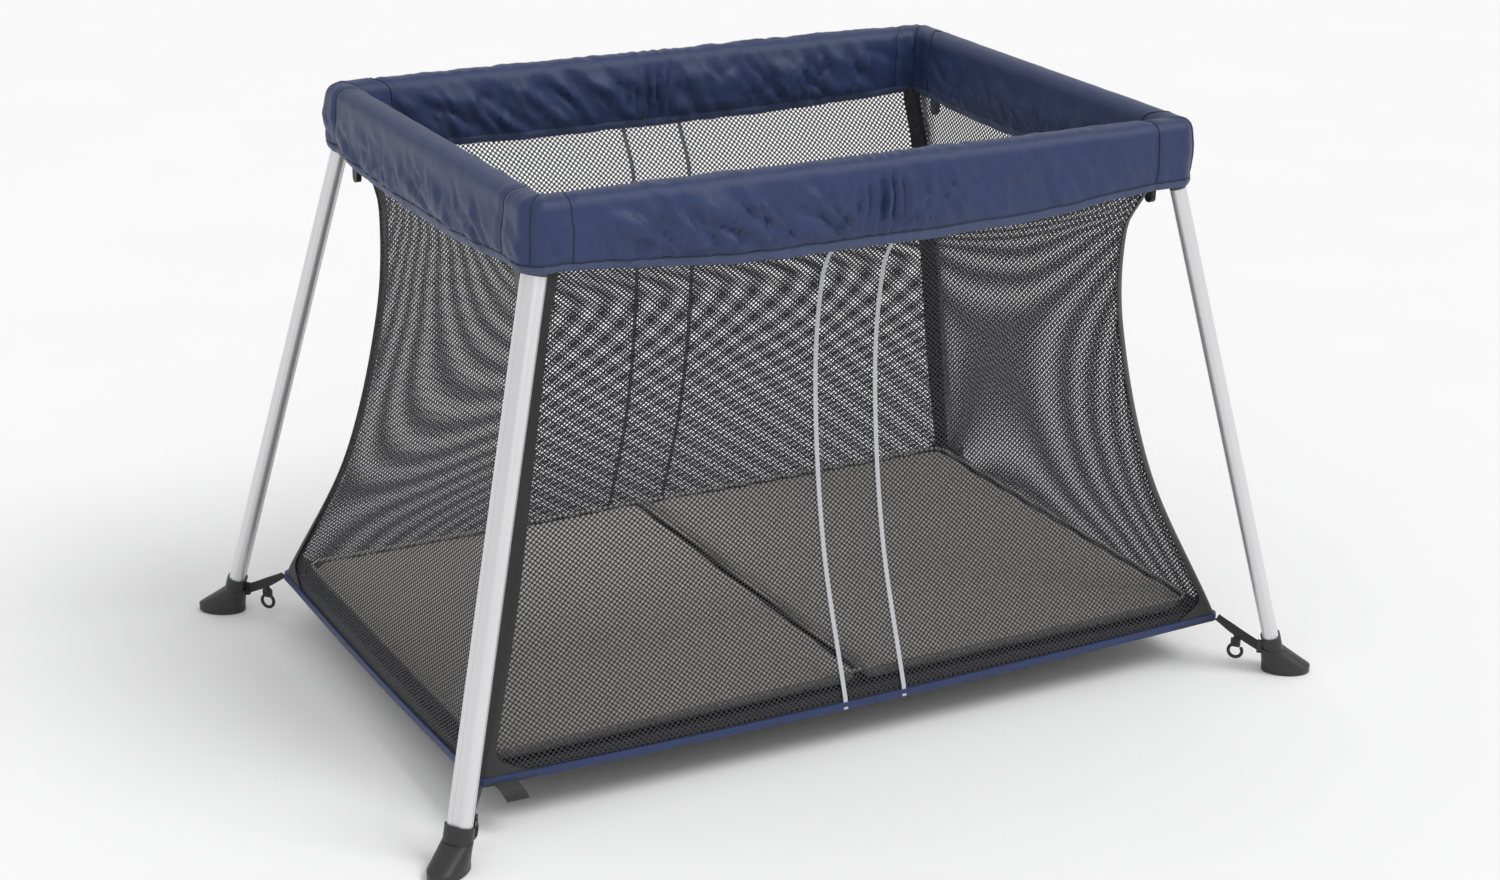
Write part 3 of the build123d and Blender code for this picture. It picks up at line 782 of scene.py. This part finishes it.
def profileLengths(steps=200):
    # length of the wall's profile up to each height
    low, high = tub["heights"][0], tub["heights"][-1]
    total, table = 0.0, [0.0]
    for step in range(steps):
        a, b = mix(low, high, step / steps), mix(low, high, (step + 1) / steps)
        total += math.hypot(b - a, tubLength(b) - tubLength(a))
        table.append(total)

    def at(height):
        place = (height - low) / (high - low) * steps
        index = min(int(place), steps - 1)
        return mix(table[index], table[index + 1], place - index)

    return at


wallLength = profileLengths()


def wallHeight(station, share):
    # the bottom edge hangs a little between the corners
    kind, along = station
    sag = 0.0
    if kind in ("front", "rear"):
        sag = 1 - (along if kind == "front" else 1 - along) ** 2
    elif kind == "end":
        sag = 1 - (2 * along - 1) ** 2
    low = tub["heights"][0] - tub["hemSag"] * sag
    return mix(low, tub["heights"][-1], share)


def wallRipple(point, height):
    # the mesh pulls into shallow upright waves above the flare
    wave = noise.noise(Vector((point.x * 9, point.y * 9, height * 2.2 + 4)))
    return 0.0022 * wave * math.sin(math.pi * smooth(height, 0.06, 0.58))


def makeWall(side):
    columns = len(tubColumns) - 1
    sign = -1 if side == "left" else 1

    def station(u):
        return tubColumns[round((u if sign > 0 else 1 - u) * columns)]

    def place(u, v):
        here = station(u)
        height = wallHeight(here, v)
        bare = wallPoint(here, max(height, tub["heights"][0]))
        point = wallPoint(here, max(height, tub["heights"][0]), wallRipple(bare, height) - 0.0006)
        return Vector((sign * point.x, point.y, height))

    def flatPlace(u, v):
        here = station(u)
        height = max(wallHeight(here, v), tub["heights"][0])
        point = wallPoint(here, height)
        along = point.y if here[0] == "end" else sign * point.x
        return along, wallLength(height)

    piece = clothGrid("tubWall_" + side, columns, tub["rows"], place, flatPlace)
    thicken(piece, tub["thickness"])
    dress(piece, "mesh_cloth")
    return piece


def ridesHalf(piece, side, crumple=True):
    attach(piece, side + "_frame")
    if crumple:
        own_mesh(piece)


for side in sides:
    wall = makeWall(side)
    ridesHalf(wall, side)
    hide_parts("mesh_end_" + side, "mesh_side_front_" + side, "mesh_side_rear_" + side)
print("tub walls made")


def mirrored(piece, name, signX, signY):
    # a copy with its own mesh, moved to another corner
    copy = bpy.data.objects.new(name, piece.data.copy())
    copy.data.name = name
    bpy.context.scene.collection.objects.link(copy)
    copy.data.transform(Matrix.Diagonal((signX, signY, 1, 1)))
    if signX * signY < 0:
        copy.data.flip_normals()
    return copy


def facingOut(piece):
    activate(piece)
    bpy.ops.object.mode_set(mode="EDIT")
    bpy.ops.mesh.select_all(action="SELECT")
    bpy.ops.mesh.normals_make_consistent(inside=False)
    bpy.ops.object.mode_set(mode="OBJECT")


# tapes, bindings and corner patches sewn on the tub
trim = {
    "tapeAt": 0.037,           # from the centre to each pale tape
    "tapeWidth": 0.005,
    "cornerWidth": 0.011,      # each way round the corner
    "patchWidth": 0.062,       # at the bottom of each corner
    "patchHeight": 0.034,
    "bindingHeight": 0.009,
    "bindingThickness": 0.0030,
    "tapeThickness": 0.0009,
}


def makeCentreTape(end, side):
    signX, signY = signs(end, side)
    top, low = tub["heights"][-1] - 0.004, tub["heights"][0] - tub["hemSag"]

    def place(u, v):
        height = mix(low, top, v)
        x = signX * trim["tapeAt"] + signX * (u - 0.5) * trim["tapeWidth"] * -signY * signX
        wallHeightHere = max(height, tub["heights"][0])
        return Vector((x, signY * (tubWidth(wallHeightHere) + 0.0022), height))

    def flatPlace(u, v):
        return u * trim["tapeWidth"], v * 0.55

    piece = clothGrid("centreTape_" + end + "_" + side, 2, 44, place, flatPlace)
    thicken(piece, trim["tapeThickness"])
    facingOut(piece)
    dress(piece, "grey_tape")
    return piece


def cornerPlace(distance, height, proud):
    # a point a distance round the tub's corner at +X +Y: negative on the side wall, positive on the end
    x, y = tubLength(height) + proud, tubWidth(height) + proud
    radius = mix(tub["bottomRound"], tub["cornerRound"], smooth(height, 0.06, 0.25)) + proud
    arc = math.pi * radius / 2
    if distance < -arc / 2:
        return Vector((x - radius - (-distance - arc / 2), y, height))
    if distance > arc / 2:
        return Vector((x, y - radius - (distance - arc / 2), height))
    angle = math.radians(90) - (distance + arc / 2) / radius
    return Vector((x - radius + radius * math.cos(angle), y - radius + radius * math.sin(angle), height))


def makeCornerTape():
    top, low = tub["heights"][-1] - 0.003, tub["heights"][0] - 0.001

    def place(u, v):
        height = mix(low, top, v ** 1.5)
        half = trim["cornerWidth"] + (trim["patchWidth"] - trim["cornerWidth"]) * (
            1 - smooth(height, low, low + trim["patchHeight"])) ** 1.6
        point = cornerPlace((0.5 - u) * 2 * half, max(height, tub["heights"][0]), 0.0021)
        return Vector((point.x, point.y, height))

    piece = clothGrid("cornerTape", 20, 60, place, lambda u, v: (u * 0.03, v * 0.55))
    thicken(piece, trim["tapeThickness"])
    facingOut(piece)
    dress(piece, "black_webbing")
    return piece


def makeTubBinding(side):
    # folded tape round the wall's bottom edge
    columns = len(tubColumns) - 1
    sign = -1 if side == "left" else 1

    def place(u, v):
        here = tubColumns[round((u if sign > 0 else 1 - u) * columns)]
        low = wallHeight(here, 0.0)
        height = low - 0.0012 + v * trim["bindingHeight"]
        point = wallPoint(here, max(low, tub["heights"][0]), 0.0012 + 0.0006 * math.sin(math.pi * v))
        return Vector((sign * point.x, point.y, height))

    def flatPlace(u, v):
        return u * 1.5, v * trim["bindingHeight"]

    piece = clothGrid("tubBinding_" + side, columns, 4, place, flatPlace)
    thicken(piece, trim["bindingThickness"])
    facingOut(piece)
    dress(piece, "navy_cloth")
    return piece


cornerTape = makeCornerTape()
for end, side in corners:
    signX, signY = signs(end, side)
    patch = mirrored(cornerTape, "cornerTape_" + end + "_" + side, signX, signY)
    ridesHalf(patch, side)
    tape = makeCentreTape(end, side)
    ridesHalf(tape, side)
bpy.data.objects.remove(cornerTape)
for side in sides:
    ridesHalf(makeTubBinding(side), side)
print("tapes and bindings made")


# floor of the tub and the mattress on it
pad = {
    "low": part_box("mattress_right")[0],
    "high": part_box("mattress_right")[1],
    "cornerRound": 0.018,
    "voxel": 0.006,
    "pressure": 4.0,
    "frames": 20,
    "mostMove": 0.006,
    "pipingRadius": 0.0019,
}


def makeFloorCloth(side):
    sign = -1 if side == "left" else 1
    length, width = tub["halfLengths"][0] - 0.0035, tub["halfWidths"][0] - 0.0035

    def place(u, v):
        x = mix(tub["split"], length, u if sign > 0 else 1 - u)
        y = mix(-width, width, v)
        sag = (1 - (x / length) ** 4) * (1 - (y / width) ** 4)
        edge = max((x / length) ** 6, (abs(y) / width) ** 6)
        ripple = 0.0012 * noise.noise(Vector((sign * x * 12, y * 12, 7)))
        return Vector((sign * x, y, tub["heights"][0] - 0.001 - 0.003 * sag + ripple * (1 - edge)))

    piece = clothGrid("floorCloth_" + side, 40, 52, place, lambda u, v: (u * length, v * 2 * width))
    thicken(piece, 0.0012, 0.0)
    facingOut(piece)
    dress(piece, "floor_cloth")
    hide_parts("floor_panel_" + side)
    ridesHalf(piece, side)


def padBlank():
    # a flat box with rounded upright corners, a little smaller than the finished pad
    low, high = pad["low"], pad["high"]
    size = high - low
    bpy.ops.object.select_all(action="DESELECT")
    bpy.ops.mesh.primitive_cube_add(size=1, location=(low + high) / 2)
    piece = bpy.context.object
    piece.scale = (size.x - 0.001, size.y - 0.006, size.z - 0.006)
    bpy.ops.object.transform_apply(location=True, rotation=True, scale=True)
    bpy.ops.object.mode_set(mode="EDIT")
    bpy.ops.mesh.select_all(action="DESELECT")
    bpy.ops.mesh.select_mode(type="EDGE")
    bpy.ops.object.mode_set(mode="OBJECT")
    for edge in piece.data.edges:
        a, b = (piece.data.vertices[i].co for i in edge.vertices)
        edge.select = abs(a.z - b.z) > 0.01 and (a.x + b.x) / 2 > high.x - 0.05
    bpy.ops.object.mode_set(mode="EDIT")
    bpy.ops.mesh.bevel(offset=pad["cornerRound"], segments=6)
    bpy.ops.mesh.select_all(action="SELECT")
    bpy.ops.mesh.bevel(offset=0.005, segments=2)
    bpy.ops.object.mode_set(mode="OBJECT")
    modify(piece, "REMESH", mode="VOXEL", voxel_size=pad["voxel"])
    return piece


def inflate(piece):
    # the cover swells and puckers over its filling, and no point moves further than the cap
    start = [v.co.copy() for v in piece.data.vertices]
    activate(piece)
    cloth = piece.modifiers.new("cloth", "CLOTH")
    cloth.settings.use_pressure = True
    cloth.settings.uniform_pressure_force = pad["pressure"]
    cloth.settings.effector_weights.gravity = 0
    cloth.settings.quality = 4
    cloth.settings.tension_stiffness = 12
    cloth.settings.compression_stiffness = 6
    cloth.settings.bending_stiffness = 0.4
    cloth.point_cache.frame_start = 1
    cloth.point_cache.frame_end = pad["frames"]
    for step in range(1, pad["frames"] + 1):
        bpy.context.scene.frame_set(step)
    activate(piece)
    bpy.ops.object.modifier_apply(modifier=cloth.name)
    bpy.context.scene.frame_set(1)
    for vertex, rest in zip(piece.data.vertices, start):
        move = vertex.co - rest
        if move.length > pad["mostMove"]:
            vertex.co = rest + move.normalized() * pad["mostMove"]


def makeMattress():
    piece = padBlank()
    inflate(piece)
    low, high = pad["low"], pad["high"]
    for vertex in piece.data.vertices:
        # flat where it rests on the floor, and gently dimpled on top
        dimple = 0.0011 * noise.noise(Vector((vertex.co.x * 16, vertex.co.y * 16, 2)))
        if vertex.co.z > (low.z + high.z) / 2:
            vertex.co.z += dimple
        vertex.co.z = max(vertex.co.z, low.z + 0.0002)
        vertex.co.x = max(vertex.co.x, low.x)
    activate(piece)
    bpy.ops.object.mode_set(mode="EDIT")
    bpy.ops.mesh.select_all(action="SELECT")
    bpy.ops.uv.cube_project(cube_size=1.0)
    bpy.ops.object.mode_set(mode="OBJECT")
    modify(piece, "SUBSURF", levels=1, render_levels=1)
    bpy.ops.object.shade_smooth()
    dress(piece, "mattress_cloth")
    return piece


def makePiping():
    # corded seam round the top edge of the mattress
    low, high = pad["low"], pad["high"]
    line = bpy.data.curves.new("piping", "CURVE")
    line.dimensions = "3D"
    line.bevel_depth = pad["pipingRadius"]
    line.bevel_resolution = 3
    inset = pad["cornerRound"]
    spots = [(low.x + 0.002, low.y + 0.004), (high.x - inset, low.y + 0.004)]
    bend = inset - 0.002
    for a in (0.5, 1.05):
        spots.append((high.x - inset + bend * math.sin(a), low.y + inset + 0.002 - bend * math.cos(a)))
    spots += [(high.x - 0.002, low.y + inset + 0.006), (high.x - 0.002, 0.0)]
    spots += [(x, -y) for x, y in reversed(spots[:-1])]
    spline = line.splines.new("POLY")
    spline.points.add(len(spots) - 1)
    for point, (x, y) in zip(spline.points, spots):
        point.co = (x, y, high.z - 0.003, 1)
    spline.use_cyclic_u = True
    piece = bpy.data.objects.new("mattressPiping", line)
    bpy.context.scene.collection.objects.link(piece)
    activate(piece)
    bpy.ops.object.convert(target="MESH")
    piece = bpy.context.object
    bpy.ops.object.shade_smooth()
    activate(piece)
    bpy.ops.object.mode_set(mode="EDIT")
    bpy.ops.mesh.select_all(action="SELECT")
    bpy.ops.uv.cube_project(cube_size=1.0)
    bpy.ops.object.mode_set(mode="OBJECT")
    dress(piece, "mattress_cloth")
    return piece


mattress, piping = makeMattress(), makePiping()
for side in sides:
    sign = signs("rear", side)[0]
    makeFloorCloth(side)
    half = mirrored(mattress, "mattressPad_" + side, sign, 1)
    cord = mirrored(piping, "mattressPiping_" + side, sign, 1)
    for piece in (half, cord):
        ridesHalf(piece, side)
    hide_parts("mattress_" + side)
bpy.data.objects.remove(mattress)
bpy.data.objects.remove(piping)
print("floor and mattress made")


# straps between the tub's corners and the feet, each with a small loop for its hook
strap = {
    "tubEnd": (0.4655, 0.2990, 0.0560),
    "heel": (0.4983, 0.3401, 0.0290),
    "width": 0.011,
    "tubWidth": 0.008,
    "thickness": 0.0016,
    "sag": 0.0012,
    "loopPlace": (0.480614, 0.317954, 0.0323837),
    "loopInside": 0.00205,
    "loopThickness": 0.0013,
    "loopWidth": 0.0055,
}


def makeStrap():
    start, stop = Vector(strap["tubEnd"]), Vector(strap["heel"])
    run = stop - start
    up = Vector((0, 0, 1))
    side = run.cross(up).normalized()
    rise = side.cross(run).normalized()

    def place(u, v):
        width = mix(strap["tubWidth"], strap["width"], smooth(u, 0.0, 0.45))
        lean = math.radians(mix(24, 0, smooth(u, 0.0, 0.5)))
        across = (v - 0.5) * width
        line = start + run * u * 1.04 - up * strap["sag"] * math.sin(math.pi * u)
        edge = 0.0003 * math.cos(2 * math.pi * v)
        aside = across * math.sin(lean) + strap["thickness"] / 2 + edge
        return line + rise * across * math.cos(lean) + side * aside

    piece = clothGrid("footStrap", 28, 8, place, lambda u, v: (u * run.length, v * strap["width"]))
    thicken(piece, strap["thickness"])
    facingOut(piece)
    dress(piece, "black_webbing")
    return piece


def makeHookLoop():
    # a ring of narrow webbing under the strap, with its two ends sewn up against it
    start, stop = Vector(strap["tubEnd"]), Vector(strap["heel"])
    heading = math.atan2((stop - start).y, (stop - start).x)
    outer = strap["loopInside"] + strap["loopThickness"]
    middle = Vector(strap["loopPlace"])
    bpy.ops.object.select_all(action="DESELECT")
    bpy.ops.mesh.primitive_cylinder_add(
        vertices=28, radius=outer, depth=strap["loopWidth"], end_fill_type="NOTHING",
        location=middle, rotation=(0, math.radians(90), heading),
    )
    piece = bpy.context.object
    bpy.ops.object.transform_apply(location=True, rotation=True, scale=True)
    piece.name = "hookLoop"
    thicken(piece, strap["loopThickness"])
    bpy.ops.object.select_all(action="DESELECT")
    above = middle + Vector((0, 0, outer + 0.0028))
    bpy.ops.mesh.primitive_cube_add(size=1, location=above, rotation=(0, 0, heading))
    tail = bpy.context.object
    tail.scale = (strap["loopWidth"], 0.0022, 0.0062)
    bpy.ops.object.transform_apply(location=True, rotation=True, scale=True)
    modify(tail, "BEVEL", width=0.0005, segments=2)
    piece.select_set(True)
    bpy.context.view_layer.objects.active = piece
    bpy.ops.object.join()
    facingOut(piece)
    activate(piece)
    bpy.ops.object.mode_set(mode="EDIT")
    bpy.ops.mesh.select_all(action="SELECT")
    bpy.ops.uv.cube_project(cube_size=1.0)
    bpy.ops.object.mode_set(mode="OBJECT")
    dress(piece, "black_webbing")
    return piece


footStrap, hookLoop = makeStrap(), makeHookLoop()
for end, side in corners:
    signX, signY = signs(end, side)
    corner = end + "_" + side
    band = mirrored(footStrap, "footStrap_" + corner, signX, signY)
    loop = mirrored(hookLoop, "hookLoop_" + corner, signX, signY)
    for piece in (band, loop):
        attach(piece, "leg_" + corner)
    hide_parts("foot_strap_" + corner)
bpy.data.objects.remove(footStrap)
bpy.data.objects.remove(hookLoop)


# short webbing tab sewn under the front edge, beside the left foot
tab = {"from": -0.4520, "to": -0.4270, "y": -0.2990, "top": 0.0545, "length": 0.026}


def makePullTab():
    def place(u, v):
        drop = v * tab["length"]
        x = mix(tab["from"], tab["to"], u) + 0.35 * drop
        y = tab["y"] - 0.55 * drop - 0.004 * math.sin(math.pi * v)
        return Vector((x, y, tab["top"] - 0.62 * drop + 0.0015 * math.sin(math.pi * v)))

    piece = clothGrid("pullTab", 12, 10, place, lambda u, v: (u * 0.025, v * tab["length"]))
    thicken(piece, 0.0016)
    facingOut(piece)
    dress(piece, "black_webbing")
    ridesHalf(piece, "left")


makePullTab()
print("straps and tab made")


def makeFloor():
    bpy.ops.object.select_all(action="DESELECT")
    bpy.ops.mesh.primitive_plane_add(size=80, location=(0, 0, 0))
    floor = bpy.context.object
    floor.name = "floor"
    paper = Finish("paleFloor", Roughness=0.95)
    where = paper.place()
    tint = paper.speckle(where, 3.0)
    paper.into("Base Color", paper.blendColour(tint, (0.93, 0.93, 0.93, 1), (0.96, 0.96, 0.96, 1)))
    floor.data.materials.append(paper.material)


makeFloor()
